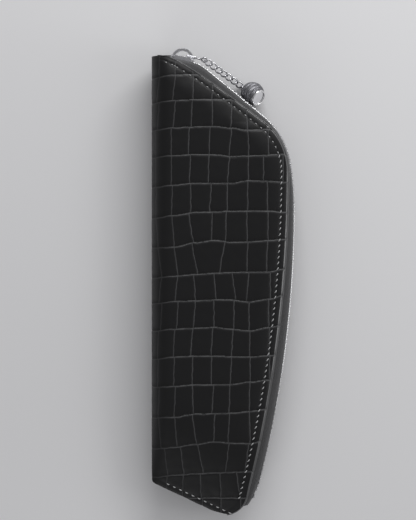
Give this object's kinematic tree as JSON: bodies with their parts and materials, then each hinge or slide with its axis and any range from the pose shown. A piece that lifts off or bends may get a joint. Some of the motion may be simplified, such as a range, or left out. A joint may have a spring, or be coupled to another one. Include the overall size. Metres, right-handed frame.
{
  "type": "fountain pen case",
  "caption": "Slim zipped leather pouch for a fountain pen, folded at the spine, with a metal zip round its sloped top and curved side and a ball pull on a chain.",
  "frame": {"origin": "centre of the flat back's floor footprint, with the case lying on its back", "axes": "+X from the folded spine towards the zip side, +Y from the bottom tip towards the zip's start, +Z from the back to the front"},
  "size_m": [0.0516, 0.1676, 0.018],
  "materials": {
    "leather": "embossed, semi-gloss black",
    "lining": "smooth, matte",
    "tape": "woven tape",
    "teeth": "polished nickel",
    "slider": "polished, slightly dark nickel",
    "spring": "plain spring steel",
    "chain": "polished",
    "ball": "satin gunmetal",
    "rim": "polished",
    "disc": "polished, plain"
  },
  "bodies": {
    "case": {"leather_wrap": "leather", "wrap_lining": "lining", "back_tape": "tape", "back_teeth": "teeth", "back_top_stop": "teeth", "front_top_stop": "teeth", "bottom_stop": "teeth"},
    "flap": {"mouth_flap": "leather", "flap_lining": "lining", "front_tape": "tape", "front_teeth": "teeth"},
    "slider": {"slider_body": "slider", "slider_cap": "slider", "lock_pawl": "spring"},
    "connector": {"pull_connector": "chain"},
    "link_1": {"chain_link_1": "chain"},
    "link_2": {"chain_link_2": "chain"},
    "link_3": {"chain_link_3": "chain"},
    "link_4": {"chain_link_4": "chain"},
    "link_5": {"chain_link_5": "chain"},
    "link_6": {"chain_link_6": "chain"},
    "link_7": {"chain_link_7": "chain"},
    "ball": {"ball": "ball", "ball_eyelet": "chain", "cap_rim": "rim", "cap_disc": "disc"}
  },
  "joints": [
    {"name": "slider_travel", "type": "hinge", "parent": "case", "child": "slider", "pos_m": [-0.05054, -0.00042, 0.009], "axis": [0, 0, -1], "range_deg": [0, 17], "deforming": ["front_tape", "back_tape", "front_teeth", "back_teeth"]},
    {"name": "mouth_open", "type": "hinge", "parent": "case", "child": "flap", "pos_m": [-0.01556, 0.07818, 0.0181], "axis": [0.1542, -0.988, 0], "range_deg": [0, 30], "deforming": ["front_tape", "front_teeth"]},
    {"name": "connector_swing", "type": "hinge", "parent": "slider", "child": "connector", "pos_m": [-0.01292, 0.081, 0.009], "axis": [0, 0, 1], "range_deg": [0, 100]},
    {"name": "link_1_swing", "type": "hinge", "parent": "connector", "child": "link_1", "pos_m": [-0.00642, 0.07941, 0.00881], "axis": [0.6377, 0.4251, 0.6424], "range_deg": [0, 12]},
    {"name": "link_2_swing", "type": "hinge", "parent": "link_1", "child": "link_2", "pos_m": [-0.00472, 0.07827, 0.00787], "axis": [-0.1455, -0.7525, 0.6424], "range_deg": [0, 18]},
    {"name": "link_3_swing", "type": "hinge", "parent": "link_2", "child": "link_3", "pos_m": [-0.00286, 0.07704, 0.00684], "axis": [0.6377, 0.4251, 0.6424], "range_deg": [0, 12]},
    {"name": "link_4_swing", "type": "hinge", "parent": "link_3", "child": "link_4", "pos_m": [-0.001, 0.0758, 0.00582], "axis": [-0.1455, -0.7525, 0.6424], "range_deg": [0, 18]},
    {"name": "link_5_swing", "type": "hinge", "parent": "link_4", "child": "link_5", "pos_m": [0.00085, 0.07457, 0.00479], "axis": [0.6377, 0.4251, 0.6424], "range_deg": [0, 12]},
    {"name": "link_6_swing", "type": "hinge", "parent": "link_5", "child": "link_6", "pos_m": [0.00271, 0.07333, 0.00376], "axis": [-0.1455, -0.7525, 0.6424], "range_deg": [0, 18]},
    {"name": "link_7_swing", "type": "hinge", "parent": "link_6", "child": "link_7", "pos_m": [0.00457, 0.0721, 0.00274], "axis": [0.6377, 0.4251, 0.6424], "range_deg": [0, 12]},
    {"name": "ball_swing", "type": "hinge", "parent": "link_7", "child": "ball", "pos_m": [0.00704, 0.07046, 0.00137], "axis": [0.5538, 0.8326, 0], "range_deg": [0, 20]}
  ]
}
